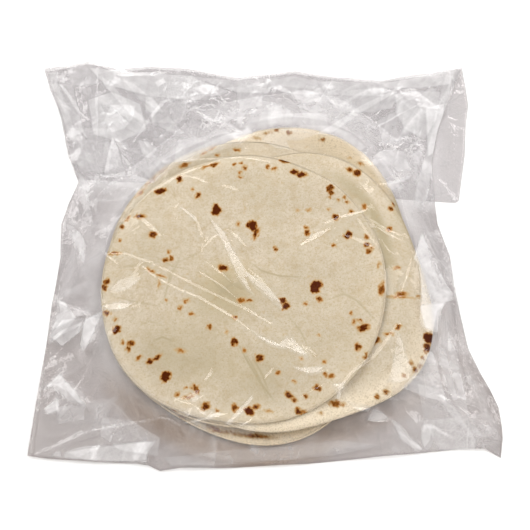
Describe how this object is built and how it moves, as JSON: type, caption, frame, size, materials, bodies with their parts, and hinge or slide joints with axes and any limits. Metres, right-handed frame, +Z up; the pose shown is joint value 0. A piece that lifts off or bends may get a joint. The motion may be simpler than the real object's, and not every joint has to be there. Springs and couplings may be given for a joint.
{
  "type": "bagged flour tortillas",
  "caption": "Clear crinkled film bag lying flat, its mouth folded under, holding a stack of round flour tortillas with brown toasted spots.",
  "frame": {"origin": "under the middle of the bag, on the surface that it lies on", "axes": "+X to the right of the shown view, along the folded edge; +Y away from its viewer, towards the folded edge; +Z up"},
  "size_m": [0.322, 0.314, 0.02],
  "materials": {
    "clear_film": "clear, glossy, crinkled film",
    "flour_tortilla": "matt cream dough with brown toasted spots"
  },
  "bodies": {
    "root": {"bag": "clear_film"}
  },
  "joints": []
}
